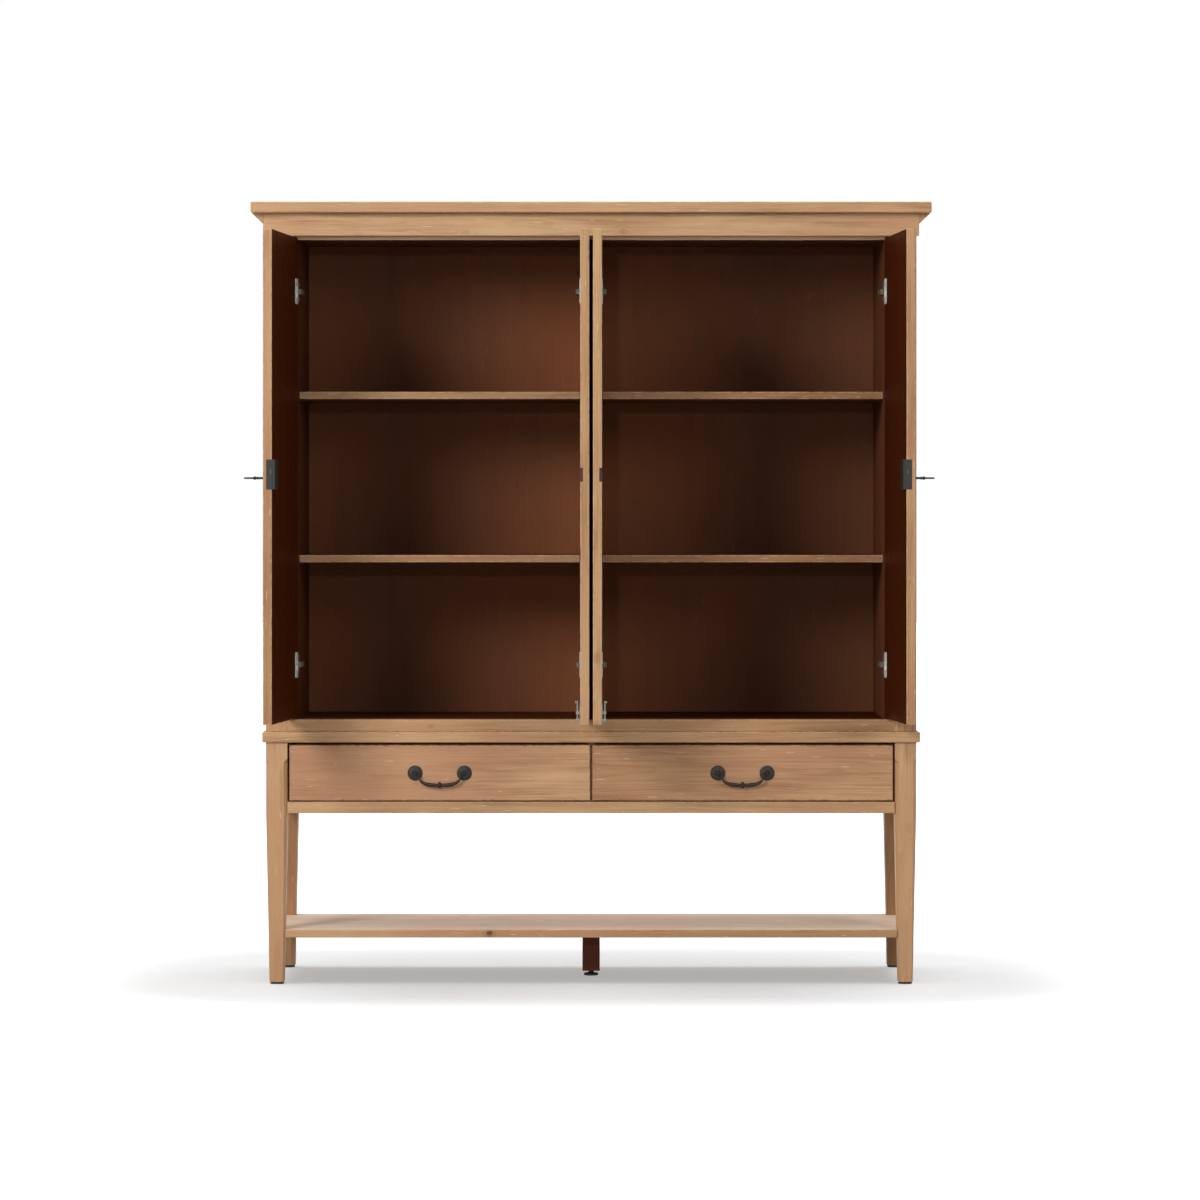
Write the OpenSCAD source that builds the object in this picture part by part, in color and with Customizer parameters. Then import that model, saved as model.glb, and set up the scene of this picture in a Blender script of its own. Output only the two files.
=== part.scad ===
/* [Overall] */
// Width over the posts and legs
case_w = 1692; // [1500:1:1900]
// Depth over the front and back legs
case_d = 500; // [460:1:600]
// Height from the floor to the top
total_h = 2033; // [1950:1:2150]
// Chamfer on the edges of the boards
ease = 1.2; // [0.5:0.1:2]

/* [Crown] */
// Thickness of the top board
top_t = 28; // [22:1:36]
// Reach of the top board past the posts at the sides
top_reach = 36.5; // [30:0.5:50]
// Reach of the top board past the posts at the front
top_front = 42; // [34:1:60]
// Height of the frieze board
frieze_h = 59; // [50:1:75]
// Thickness of the frieze board
frieze_t = 12; // [10:1:18]
// Reach of the frieze past the posts at the sides
frieze_reach = 6; // [4:0.5:9]
// Height of the bevelled crown at the sides
crown_h = 28; // [20:1:40]

/* [Upper case] */
// Width of the posts and of the legs at the top
post_w = 56; // [50:1:64]
// Depth of the posts
post_d = 45; // [38:1:52]
// Height of the rail under the doors
bottom_rail_h = 32; // [26:1:44]
// Depth of the rail under the doors
bottom_rail_d = 44; // [38:1:52]
// Drop of the top rail below the frieze
rail_lip = 10; // [7:1:16]
// Thickness of the stiles and of the top rail behind the doors
stile_t = 18; // [15:1:24]
// Thickness of the inner boards
panel_t = 18; // [15:1:22]
// Thickness of the outer side panels
side_panel_t = 12; // [8:1:16]
// Height of the rails at the sides
side_rail_h = 60; // [45:1:80]
// Thickness of the rails and aprons at the sides and back
side_rail_t = 20; // [16:1:24]
// Set back of the rails and panels at the sides and back
side_set = 6; // [3:1:10]
// Thickness of the back panels
back_t = 6; // [4:1:10]
// Thickness of the shelves
shelf_t = 19; // [16:1:25]
// Depth of the lipping on the shelves
lip_d = 18; // [12:1:30]
// Set back of the shelves behind the case front
shelf_set = 40; // [30:1:80]
// Height of the top face of the lower shelf above the floor of the case
shelf_low_up = 427; // [320:1:490]
// Height of the top face of the upper shelf above the floor of the case
shelf_high_up = 854; // [760:1:910]
// Distance of the shelf pins from the front of a shelf and from the back
pin_in = 60; // [40:1:90]
// Diameter of the shelf pins
pin_d = 5; // [4:0.5:7]

/* [Doors] */
// Thickness of the doors
door_t = 23; // [21:0.5:26]
// Gap between a pair of doors, and above the doors
door_gap = 3; // [2:0.5:4]
// Gap between a door and the post or the rail below it
door_side_gap = 2.5; // [2.2:0.1:4]
// Gap between the two middle doors
middle_gap = 9.2; // [7:0.2:14]
// Gap between the closed doors and the case
door_back_gap = 2.5; // [2.3:0.1:4]
// Distance of the hinge axis from the edge and the face of a door
pivot_in = 8; // [7.5:0.5:8.5]
// Width of the door stiles
door_stile = 70; // [60:1:90]
// Height of the door rails
door_rail = 80; // [60:1:110]
// Thickness of the door panels
door_panel_t = 14; // [9:1:18]
// Opening angle of the left outer door in degrees
angle_left = 96; // [60:0.5:100]
// Opening angle of the right outer door in degrees
angle_right = 94.5; // [60:0.5:100]
// Opening angle of the two middle doors in degrees
angle_middle = 90; // [60:0.5:90]

/* [Hinges] */
// Distance of the lower hinges from the lower end of a door
hinge_low_in = 139.5; // [80:0.5:200]
// Distance of the upper hinges from the upper end of a door
hinge_high_in = 141; // [80:0.5:200]
// Diameter of the hinge cups
cup_d = 35; // [34:0.5:36]
// Depth of the hinge cups
cup_depth = 12; // [11:0.5:12.5]
// Distance of the cup centre from the edge of the door
cup_in = 22; // [21.5:0.5:23]
// Length of the flange on a cup
flange_l = 66; // [58:1:76]
// Length of the hinge arms
arm_l = 68; // [55:1:80]

/* [Lock] */
// Height of the key above the lower end of a door
key_up = 622.5; // [520:0.5:720]
// Height of the lock case
lock_h = 76; // [70:1:90]
// Length of the lock case across the door
lock_l = 48; // [46:1:56]
// Distance from the edge of the door to the key
backset = 22; // [21:0.5:24]
// Stand of the lock case above the door face
lock_proud = 8; // [7:0.5:10]
// Depth of the lock case in the door
lock_sunk = 7; // [6.5:0.5:8]
// Thickness of the steel of the lock
lock_wall = 1.4; // [1.2:0.1:1.8]
// Travel of the lock bolt
bolt_throw = 9; // [7:0.5:10]
// Height of the lock bolt
lock_bolt_h = 14; // [11:0.5:16]
// Diameter of the key shank
shank_d = 6; // [5:0.5:6.5]
// Radius that the key bit sweeps
bit_r = 8; // [7.5:0.1:8.2]
// Stand of the key out of the door
key_out = 52; // [44:1:60]
// Outer diameter of the key bow
bow_d = 26; // [20:1:30]

/* [Slide bolts] */
// Length of the bolt plate
slide_plate_l = 46; // [40:1:60]
// Width of the bolt plate
slide_plate_w = 20; // [16:1:24]
// Diameter of the bolt rod
rod_d = 6; // [5:0.5:7]
// Travel of the bolt rod
rod_travel = 16; // [13:0.5:17]
// Height of the plate above the lower end of the door
slide_low = 7; // [5:0.5:10]

/* [Base] */
// Height of the top of the waist board
waist_top = 657; // [600:1:700]
// Thickness of the waist board
waist_t = 27.5; // [22:0.5:34]
// Reach of the waist board past the legs
waist_reach = 9; // [5:0.5:16]
// Width of the legs at the floor
foot_w = 38; // [30:1:46]
// Width of the leg chamfers at the top
chamfer_top = 14; // [8:0.5:18]
// Width of the leg chamfers at the floor
chamfer_low = 5; // [3:0.5:8]
// Height of the stops of the leg chamfers
chamfer_stop = 590; // [540:1:600]
// Height of the rail under the drawers
drawer_rail_h = 30; // [24:1:40]
// Depth of the rail under the drawers
drawer_rail_d = 45; // [36:1:60]
// Thickness of the lower shelf
low_shelf_t = 21; // [18:1:28]
// Height of the top face of the lower shelf above the floor
low_shelf_top = 142; // [110:1:180]
// Width of the middle foot
mid_foot_w = 46; // [40:1:56]
// Height of the middle foot above the floor
mid_foot_gap = 13; // [11:0.5:18]
// Diameter of the glide under the middle foot
mid_glide_d = 38; // [30:1:42]
// Height of the glides under the legs
glide_h = 6; // [4:0.5:9]
// Distance of the glides under the legs from the sides of the leg
glide_in = 1; // [0:0.5:4]

/* [Drawers] */
// Height of the drawer fronts
drawer_h = 145; // [120:1:148]
// Thickness of the drawer fronts
drawer_front_t = 20; // [16:1:24]
// Gap under the drawer fronts
drawer_gap = 3; // [2:0.5:5]
// Gap between the drawer fronts and the legs
drawer_side_gap = 5; // [3:0.5:7]
// Gap between the two drawer fronts
drawer_mid_gap = 4.4; // [3:0.2:8]
// Length of the drawer sides
drawer_l = 400; // [340:1:410]
// Thickness of the drawer sides
drawer_side_t = 13; // [10:1:16]
// Height of the drawer sides
drawer_side_h = 118; // [90:1:125]
// Thickness of the drawer bottoms
drawer_bottom_t = 6; // [4:0.5:9]
// Thickness of the runners
runner_t = 20; // [14:1:26]
// Thickness of the board between the drawers
divider_t = 18; // [14:1:24]

/* [Pulls] */
// Distance between the two posts of a pull
pull_span = 128; // [96:1:160]
// Diameter of the rosettes
rosette_d = 39; // [30:1:46]
// Stand of the bail axis off the drawer front
bail_out = 13; // [11:0.5:18]
// Drop of the bail
bail_drop = 31; // [24:1:40]
// Diameter of the bail at its ends
bail_d = 5; // [4:0.2:6]
// Diameter of the bail at its middle
bail_mid_d = 10; // [7:0.5:11]

/* [Hidden] */
$fn = 48;

// Colours as the finish shows them
pine = "#C9A27C";
dark_wood = "#4A2E20";
iron = "#26221F";
nickel = "#C8C8C4";
steel = "#8E8C88";
black = "#1B1B1B";

// Clearances
fit = 0.3;
run = 0.05;
seam = 0.05;
hinge_gap = 1.5;

// Places from front to back
half_w = case_w / 2;
y_face = -case_d / 2;
y_rear = case_d / 2;
y_case = y_face + door_t + door_back_gap;
y_box = y_case + stile_t;
y_back = y_rear - side_set - back_t;
y_shelf = y_case + shelf_set;

// Heights
crown_z = total_h - top_t;
frieze_z = crown_z - frieze_h;
stile_z = frieze_z - rail_lip;
floor_z = waist_top + bottom_rail_h;
waist_z = waist_top - waist_t;
drawer_top_gap = 6.5;
drawer_z = waist_z - drawer_top_gap - drawer_h;
rail_z = drawer_z - drawer_gap;
apron_z = rail_z - drawer_rail_h;
low_shelf_z = low_shelf_top - low_shelf_t;

// Doors: each is drawn with its hinge axis at the origin and its free edge along +x
post_in = half_w - post_w;
door_edge = post_in - door_side_gap;
pivot_deep = door_t - pivot_in;
pivot_y = y_face + pivot_in;
outer_x = door_edge - pivot_in;
inner_x = middle_gap / 2 + pivot_in;
side_in = outer_x - pivot_deep - hinge_gap;
part_out = inner_x + pivot_deep + hinge_gap;
part_in = part_out - panel_t;
door_w = (door_edge - middle_gap / 2 - door_gap) / 2;
free_x = door_w - pivot_in;
door_z = floor_z + door_side_gap;
door_top = frieze_z - door_gap;
shelf_low = floor_z + shelf_low_up;
shelf_high = floor_z + shelf_high_up;
hinge_low = door_z + hinge_low_in;
hinge_high = door_top - hinge_high_in;
key_z = door_z + key_up;
door_round = 3;
cup_x = cup_in - pivot_in;
cup_wall = 1.4;
screw_in = 7;

// Lock
key_x = free_x - backset;
lock_z = key_z - 29;
bolt_play = 0.3;
bolt_lift = bit_r + 1.3;
bolt_back = 0.5;
layer_0 = pivot_deep - lock_sunk + lock_wall + bolt_play;
layer_1 = pivot_deep - 1;
bolt_len = backset + 16;
talon_mid = backset + bolt_throw / 2;
talon_half = 5.6;
talon_w = 5;
talon_drop = 4;
plate_face = 1.5;
plate_deep = 14.5;
stump_in = 20;
stump_r = 2.6;
drill_r = 1.5;
strike_h = 35;
strike_z = key_z - 9;
strike_deep = 8.5;

// Slide bolts
slide_x = free_x - 14;
slide_z = door_z + slide_low;
slide_plate_t = 1.5;
slide_out = slide_plate_t + rod_d / 2 + 2;
slide_knob_z = slide_z + slide_plate_l + 4;

// Drawers
box_in = divider_t / 2 + fit;
guide_w = 18;
guide_h = 22;
runner_w = 26;
box_out = post_in - guide_w - fit;
box_y = y_face + drawer_front_t;
box_z = rail_z + fit;
pull_x = (drawer_mid_gap / 2 + post_in - drawer_side_gap) / 2;
pull_z = drawer_z + drawer_h / 2 - 0.5;
bail_y = y_face - bail_out;
pin_r = bail_d / 2;
rail_set = 2;

// Rectangle with chamfered corners
module eased(w, h, e) {
    polygon([[e, 0], [w - e, 0], [w, e], [w, h - e], [w - e, h], [e, h], [0, h - e], [0, e]]);
}

// Board from its low corner to its high corner, with chamfered edges
module board(low, high, e = ease) {
    s = high - low;
    translate(low)
        intersection() {
            linear_extrude(s[2])
                eased(s[0], s[1], e);
            translate([0, s[1], 0])
                rotate([90, 0, 0])
                    linear_extrude(s[1])
                        eased(s[0], s[2], e);
            rotate([90, 0, 90])
                linear_extrude(s[0])
                    eased(s[1], s[2], e);
        }
}

// The children on the right and mirrored on the left
module both_sides() {
    children();
    mirror([1, 0, 0])
        children();
}

// The children at a door's hinge: hand 1 hangs on its left edge, hand -1 on its right edge
module at_hinge(x, hand, angle) {
    translate([x, pivot_y, 0])
        rotate([0, 0, -hand * angle])
            mirror([hand < 0 ? 1 : 0, 0, 0])
                children();
}

module left_outer() {
    at_hinge(-outer_x, 1, angle_left)
        children();
}

module left_inner() {
    at_hinge(-inner_x, -1, angle_middle)
        children();
}

module right_inner() {
    at_hinge(inner_x, 1, angle_middle)
        children();
}

module right_outer() {
    at_hinge(outer_x, -1, angle_right)
        children();
}

// Cylinder along +Y from the point
module rod_y(p, r, l) {
    translate(p)
        rotate([-90, 0, 0])
            cylinder(r = r, h = l);
}

// Cylinder along +X from the point
module rod_x(p, r, l) {
    translate(p)
        rotate([0, 90, 0])
            cylinder(r = r, h = l);
}

// Crown
module top_board() {
    color(pine)
        board([-half_w - top_reach, y_face - top_front, crown_z], [half_w + top_reach, y_rear, total_h], 2);
}

module frieze_board() {
    color(pine)
        board([-half_w - frieze_reach, y_face - frieze_t, frieze_z],
              [half_w + frieze_reach, y_face, crown_z]);
}

module crown_profile(inner) {
    polygon([
        [inner, crown_z], [half_w + top_reach - 1, crown_z],
        [half_w + frieze_reach, crown_z - crown_h], [inner, crown_z - crown_h]
    ]);
}

module side_crowns() {
    color(pine)
        both_sides() {
            translate([0, y_rear, 0])
                rotate([90, 0, 0])
                    linear_extrude(case_d)
                        crown_profile(half_w);
            translate([0, y_face, 0])
                rotate([90, 0, 0])
                    linear_extrude(frieze_t)
                        crown_profile(half_w + frieze_reach);
        }
}

// Upper case
module upper_posts() {
    color(pine)
        both_sides() {
            board([post_in, y_face, waist_top], [half_w, y_face + post_d, crown_z]);
            board([post_in, y_rear - post_d, waist_top], [half_w, y_rear, crown_z]);
        }
}

module outer_side_rails() {
    x0 = half_w - side_set - side_rail_t;
    x1 = half_w - side_set;
    color(pine)
        both_sides() {
            board([x0, y_face + post_d, waist_top], [x1, y_rear - post_d, waist_top + side_rail_h]);
            board([x0, y_face + post_d, crown_z - side_rail_h], [x1, y_rear - post_d, crown_z]);
        }
}

module outer_side_panels() {
    x0 = half_w - side_set - (side_rail_t + side_panel_t) / 2;
    color(pine)
        both_sides()
            board([x0, y_face + post_d, waist_top + side_rail_h],
                  [x0 + side_panel_t, y_rear - post_d, crown_z - side_rail_h], ease / 2);
}

module top_rail() {
    color(pine) {
        board([-post_in, y_face, frieze_z], [post_in, y_case, crown_z]);
        board([-post_in, y_case + seam, stile_z], [post_in, y_box, crown_z]);
    }
}

module rod_hole(x) {
    translate([x, pivot_y + pivot_deep + slide_out, floor_z - rod_travel + slide_low])
        cylinder(r = rod_d / 2 + 1, h = rod_travel);
}

module bottom_rail() {
    color(pine)
        difference() {
            board([-post_in, y_face, waist_top], [post_in, y_face + bottom_rail_d, floor_z]);
            rod_hole(inner_x + slide_x);
            rod_hole(-inner_x - slide_x);
        }
}

module front_stiles() {
    color(dark_wood) {
        both_sides()
            board([side_in, y_case, floor_z], [post_in, y_box, stile_z], ease / 2);
        board([-part_out, y_case, floor_z], [part_out, y_box, stile_z], ease / 2);
    }
}

// Sockets for the shelf pins on a board face at x, on the side that dir points to
module pin_sockets(x, dir) {
    for (z = [shelf_low, shelf_high], y = [y_shelf + pin_in, y_back - pin_in])
        rod_x([x - (dir > 0 ? 0 : 9), y, z - shelf_t - fit - pin_d / 2], pin_d / 2 + run, 9);
}

module inner_side_panels() {
    color(dark_wood)
        both_sides()
            difference() {
                board([side_in, y_box, floor_z], [side_in + panel_t, y_back, frieze_z], ease / 4);
                pin_sockets(side_in, 1);
            }
}

module partition_panels() {
    color(dark_wood)
        both_sides()
            difference() {
                board([part_in, y_box, floor_z], [part_out, y_back, frieze_z], ease / 4);
                pin_sockets(part_out, -1);
            }
}

module case_top() {
    color(dark_wood)
        board([-post_in, y_box, frieze_z], [post_in, y_back, frieze_z + panel_t], ease / 4);
}

module case_floor() {
    color(dark_wood)
        board([-post_in, y_face + bottom_rail_d, floor_z - panel_t], [post_in, y_back, floor_z], ease / 4);
}

module back_panels() {
    color(dark_wood)
        both_sides()
            board([seam, y_back, waist_top + 2], [post_in - seam, y_back + back_t, crown_z - seam], ease / 4);
}

// The children at the top face of each shelf
module at_shelves() {
    both_sides()
        for (z = [shelf_low, shelf_high])
            translate([0, 0, z])
                children();
}

module shelves() {
    color(dark_wood)
        at_shelves()
            board([part_out + 0.5, y_shelf + lip_d, -shelf_t], [side_in - 0.5, y_back - 3, 0], ease / 4);
}

module shelf_lippings() {
    color(pine)
        at_shelves()
            board([part_out + 0.5, y_shelf, -shelf_t], [side_in - 0.5, y_shelf + lip_d, 0]);
}

module shelf_pins() {
    color(steel)
        at_shelves()
            for (y = [y_shelf + pin_in, y_back - pin_in]) {
                rod_x([part_out - 8, y, -shelf_t - fit - pin_d / 2], pin_d / 2, 17);
                rod_x([side_in - 9, y, -shelf_t - fit - pin_d / 2], pin_d / 2, 17);
            }
}

// Hinge arm on its mounting plate, drawn in the frame of a door's hinge
arm_low = pivot_deep + hinge_gap;
arm_nose = pivot_deep - cup_depth + 1.6;
nose_x = arm_low + 0.3;
arm_y = pivot_deep + door_back_gap;

module hinge_arm() {
    board([arm_low, arm_y + 4, -24], [arm_low + 1.8, arm_y + 30, 24], 0.5);
    difference() {
        translate([0, 0, -6.5])
            linear_extrude(13)
                polygon([
                    [nose_x, arm_nose], [arm_low + 8, arm_nose], [arm_low + 10.5, arm_nose + 3],
                    [arm_low + 10.5, arm_y], [arm_low + 12, arm_y + 8], [arm_low + 12, arm_y + arm_l - 4],
                    [arm_low + 10, arm_y + arm_l], [arm_low + 1.9, arm_y + arm_l], [arm_low + 1.9, arm_y + 1],
                    [nose_x, arm_y - 1]
                ]);
        for (y = [arm_y + 22, arm_y + 44])
            rod_x([arm_low + 9.5, y, 0], 4, 4);
    }
    for (y = [arm_y + 22, arm_y + 44])
        rod_x([arm_low + 9.5 + seam, y, 0], 3.5, 2.2);
}

module hinge_arms() {
    color(nickel)
        for (z = [hinge_low, hinge_high])
            translate([0, 0, z]) {
                at_hinge(-outer_x, 1, 0)
                    hinge_arm();
                at_hinge(-inner_x, -1, 0)
                    hinge_arm();
                at_hinge(inner_x, 1, 0)
                    hinge_arm();
                at_hinge(outer_x, -1, 0)
                    hinge_arm();
            }
}

// Doors
module hinge_stile_profile() {
    d0 = -pivot_in;
    d1 = pivot_deep;
    translate([d0 + door_round, d0])
        square([door_stile - door_round, door_t]);
    translate([d0, d0 + door_round])
        square([door_round, door_t - door_round - ease]);
    translate([d0 + door_round, d0 + door_round])
        circle(r = door_round);
    polygon([[d0, d1 - ease], [d0 + ease, d1], [d0 + door_round, d1], [d0 + door_round, d1 - ease]]);
}

module door_frame(with_lock) {
    x0 = door_stile - pivot_in;
    x1 = free_x - door_stile;
    color(pine) {
        difference() {
            translate([0, 0, door_z])
                linear_extrude(door_top - door_z)
                    hinge_stile_profile();
            for (z = [hinge_low, hinge_high])
                rod_y([cup_x, pivot_deep - cup_depth - 0.2, z], cup_d / 2 + 0.1, cup_depth + 1);
        }
        difference() {
            board([x1, -pivot_in, door_z], [free_x, pivot_deep, door_top]);
            if (with_lock)
                lock_mortise();
            else
                strike_mortise();
        }
        for (z = [door_z, door_top - door_rail])
            board([x0 + seam, -pivot_in, z], [x1 - seam, pivot_deep, z + door_rail]);
    }
}

module door_panel() {
    color(pine)
        board([door_stile - pivot_in, pivot_deep - door_panel_t, door_z + door_rail],
              [free_x - door_stile, pivot_deep, door_top - door_rail], ease / 4);
}

// Cup with its flange, open to the inner side of the door, and a tongue under the nose of the arm
module hinge_cup(angle) {
    r = cup_d / 2;
    flange_t = 2.2;
    tongue_end = nose_x * cos(angle) - arm_nose * sin(angle) - 0.4;
    tongue_t = nose_x * sin(angle) + arm_nose * cos(angle) - fit - pivot_deep;
    translate([tongue_end, pivot_deep, -8])
        cube([cup_x - r + 3 - tongue_end, tongue_t, 16]);
    translate([cup_x, pivot_deep, 0])
        rotate([90, 0, 0])
            rotate_extrude()
                polygon([
                    [r - cup_wall, 0], [r, 0], [r, cup_depth], [0, cup_depth], [0, cup_depth - 1],
                    [r - cup_wall, cup_depth - 1]
                ]);
    difference() {
        translate([cup_x, pivot_deep + flange_t, 0])
            rotate([90, 0, 0])
                linear_extrude(flange_t)
                    difference() {
                        translate([-r + 2, -flange_l / 2])
                            eased(2 * r - 4, flange_l, 3);
                        circle(r = r - cup_wall);
                    }
        for (s = [-1, 1])
            rod_y([cup_x, pivot_deep + 1.2, s * (flange_l / 2 - screw_in)], 4, 2);
    }
    for (s = [-1, 1])
        rod_y([cup_x, pivot_deep + 1.2 + seam, s * (flange_l / 2 - screw_in)], 3.5, 1);
}

module hinge_cups(angle) {
    color(nickel)
        for (z = [hinge_low, hinge_high])
            translate([0, 0, z])
                hinge_cup(angle);
}

// Lock
module keyway(p, l, hole_r) {
    rod_y(p, hole_r, l);
    translate([p[0] - 1.6, p[1], p[2] - bit_r - 0.5])
        cube([3.2, l, bit_r]);
}

module lock_mortise() {
    translate([free_x - lock_l, pivot_deep - lock_sunk, lock_z])
        cube([lock_l + 1, lock_sunk + 1, lock_h]);
    translate([free_x - plate_face, pivot_deep - plate_deep, lock_z])
        cube([plate_face + 1, plate_deep + 1, lock_h]);
    keyway([key_x, -pivot_in - 1, key_z], door_t + 2, shank_d / 2 + 1.5);
}

module lock_case() {
    y0 = pivot_deep - lock_sunk;
    y1 = pivot_deep + lock_proud;
    stump_z = key_z + bolt_lift + lock_bolt_h / 2;
    color(steel) {
        difference() {
            union() {
                board([free_x - lock_l, y0, lock_z], [free_x - plate_face / 2, y1, lock_z + lock_h], 0.6);
                translate([free_x - plate_face, pivot_deep - plate_deep, lock_z])
                    cube([plate_face, plate_deep + 2, lock_h]);
            }
            translate([free_x - lock_l + lock_wall, y0 + lock_wall, lock_z + lock_wall])
                cube([lock_l - lock_wall - plate_face, y1 - y0 - 2 * lock_wall, lock_h - 2 * lock_wall]);
            translate([free_x - plate_face - 1, layer_0 - fit, key_z + bolt_lift - fit])
                cube([plate_face + 2, layer_1 - layer_0 + 2 * fit, lock_bolt_h + 2 * fit]);
            keyway([key_x, y0 - 1, key_z], lock_wall + 2, shank_d / 2 + run);
        }
        rod_y([free_x - stump_in, y0 + lock_wall / 2, stump_z], stump_r, y1 - y0 - lock_wall);
        rod_y([key_x, layer_0, key_z], drill_r, y1 - layer_0 - lock_wall / 2);
    }
}

module lock_bolt() {
    x0 = free_x - bolt_back - bolt_len;
    low = key_z + bolt_lift;
    layer = layer_1 - layer_0;
    slot_r = stump_r + fit;
    color(nickel)
        difference() {
            union() {
                board([x0, layer_0, low], [x0 + bolt_len, layer_1, low + lock_bolt_h], 0.4);
                for (e = [talon_mid - talon_half, talon_mid + talon_half + talon_w])
                    translate([free_x - e, layer_0, low - talon_drop])
                        cube([talon_w, layer, talon_drop + 1]);
            }
            translate([free_x - stump_in - bolt_throw, layer_0 - 1, low + lock_bolt_h / 2])
                rotate([-90, 0, 0])
                    linear_extrude(layer + 2) {
                        circle(r = slot_r);
                        translate([0, -slot_r])
                            square([bolt_throw, 2 * slot_r]);
                        translate([bolt_throw, 0])
                            circle(r = slot_r);
                    }
        }
}

module key() {
    bow_y = -pivot_in - key_out + bow_d / 2;
    bow_wire = 2.2;
    shank_0 = bow_y + bow_d / 2 - bow_wire;
    shank_1 = pivot_deep + lock_proud - lock_wall - fit;
    shank_r = shank_d / 2;
    color(iron) {
        translate([key_x, bow_y, key_z])
            rotate_extrude()
                translate([bow_d / 2 - bow_wire, 0])
                    circle(r = bow_wire);
        difference() {
            union() {
                rod_y([key_x, shank_0, key_z], shank_r, shank_1 - shank_0);
                translate([key_x, shank_0 + 4, key_z])
                    sphere(r = shank_r + 1.5);
                rod_y([key_x, shank_0 + 10, key_z], shank_r + 0.9, 1.6);
                difference() {
                    translate([key_x - bit_r, layer_0 + 0.2, key_z - 1.2])
                        cube([bit_r, layer_1 - layer_0 - 0.4, 2.4]);
                    translate([key_x - bit_r - 1, layer_0 + 1.7, key_z - 2])
                        cube([3, 0.9, 4]);
                }
            }
            rod_y([key_x, layer_0 - 1, key_z], drill_r + run, shank_1 - layer_0 + 2);
        }
    }
}

// Strike of the lock in the edge of an inner door
module strike_mortise() {
    translate([free_x - strike_deep, pivot_deep - lock_sunk, strike_z])
        cube([strike_deep + 1, lock_sunk + 1, strike_h]);
}

module strike() {
    y0 = pivot_deep - lock_sunk;
    color(steel)
        translate([0, 0, strike_z])
            linear_extrude(strike_h)
                polygon([
                    [free_x - strike_deep, y0], [free_x - 1, y0], [free_x - 1, y0 + 1.2],
                    [free_x - strike_deep + 1.4, y0 + 1.2], [free_x - strike_deep + 1.4, pivot_deep],
                    [free_x - strike_deep, pivot_deep]
                ]);
}

// Slide bolt of an inner door
module slide_plate() {
    rod_y0 = pivot_deep + slide_out;
    r = rod_d / 2 + 1.8;
    w = slide_plate_w / 2;
    color(nickel) {
        board([slide_x - w, pivot_deep, slide_z],
              [slide_x + w, pivot_deep + slide_plate_t, slide_z + slide_plate_l], 0.4);
        for (z = [1, 20])
            translate([slide_x, 0, slide_z + z])
                linear_extrude(8)
                    difference() {
                        union() {
                            translate([0, rod_y0])
                                circle(r = r);
                            translate([-r, pivot_deep + 1])
                                square([2 * r, rod_y0 - pivot_deep - 1]);
                            translate([2 - w, pivot_deep + 1])
                                square([slide_plate_w - 4, 1.7]);
                        }
                        translate([0, rod_y0])
                            circle(r = rod_d / 2 + run);
                    }
    }
}

module slide_rod() {
    rod_y0 = pivot_deep + slide_out;
    color(nickel) {
        translate([slide_x, rod_y0, slide_z + 1.5])
            cylinder(r = rod_d / 2, h = slide_plate_l + 6);
        rod_y([slide_x, rod_y0, slide_knob_z], 2.2, 4);
        translate([slide_x, rod_y0 + 4, slide_knob_z])
            sphere(r = 2.8);
    }
}

// Base
module waist_board() {
    color(pine)
        board([-half_w - waist_reach, y_face - waist_reach, waist_z],
              [half_w + waist_reach, y_rear, waist_top], 2);
}

leg_x = half_w - post_w / 2;
leg_y = case_d / 2 - post_w / 2;
glide_r = foot_w / 2 - glide_in;

// Half the width of a leg at a height, below the drawers
function leg_half(z) = (foot_w + (post_w - foot_w) * (z - glide_h) / (apron_z - glide_h)) / 2;

// Width of the leg chamfer at a height
function chamfer_at(z) = chamfer_low + (chamfer_top - chamfer_low) * (z - glide_h) / (chamfer_stop - glide_h);

module leg_taper() {
    f = foot_w / 2;
    p = post_w / 2;
    translate([0, p, 0])
        rotate([90, 0, 0])
            linear_extrude(post_w)
                polygon([[-f, glide_h], [f, glide_h], [p, apron_z], [p, waist_z], [-p, waist_z], [-p, apron_z]]);
}

// Long cutter along the leg corner that lies towards the angle
module chamfer_cut(angle) {
    d = sqrt(2);
    p = post_w / 2 * d;
    rotate([0, 0, angle])
        rotate([90, 0, 0])
            linear_extrude(2 * post_w, center = true)
                polygon([
                    [foot_w / 2 * d - chamfer_low / 2, glide_h - 1],
                    [p - chamfer_at(apron_z) / 2, apron_z],
                    [p - chamfer_at(chamfer_stop - 14) / 2, chamfer_stop - 14],
                    [p + 2, chamfer_stop + 2], [p + 20, chamfer_stop + 2], [p + 20, glide_h - 1]
                ]);
}

module leg(chamfered) {
    difference() {
        intersection() {
            leg_taper();
            rotate([0, 0, 90])
                leg_taper();
        }
        if (chamfered) {
            chamfer_cut(-45);
            chamfer_cut(-135);
        }
    }
}

module legs() {
    color(pine)
        both_sides() {
            translate([leg_x, -leg_y, 0])
                leg(true);
            translate([leg_x, leg_y, 0])
                leg(false);
        }
}

module leg_glides() {
    color(black)
        both_sides()
            for (y = [-leg_y, leg_y])
                translate([leg_x, y, 0])
                    rotate_extrude()
                        polygon([
                            [0, 0], [glide_r - 1, 0], [glide_r, 1.5],
                            [glide_r, glide_h], [0, glide_h]
                        ]);
}

module drawer_rail() {
    color(pine)
        board([-post_in, y_face + rail_set, apron_z], [post_in, y_face + rail_set + drawer_rail_d, rail_z]);
}

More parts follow.
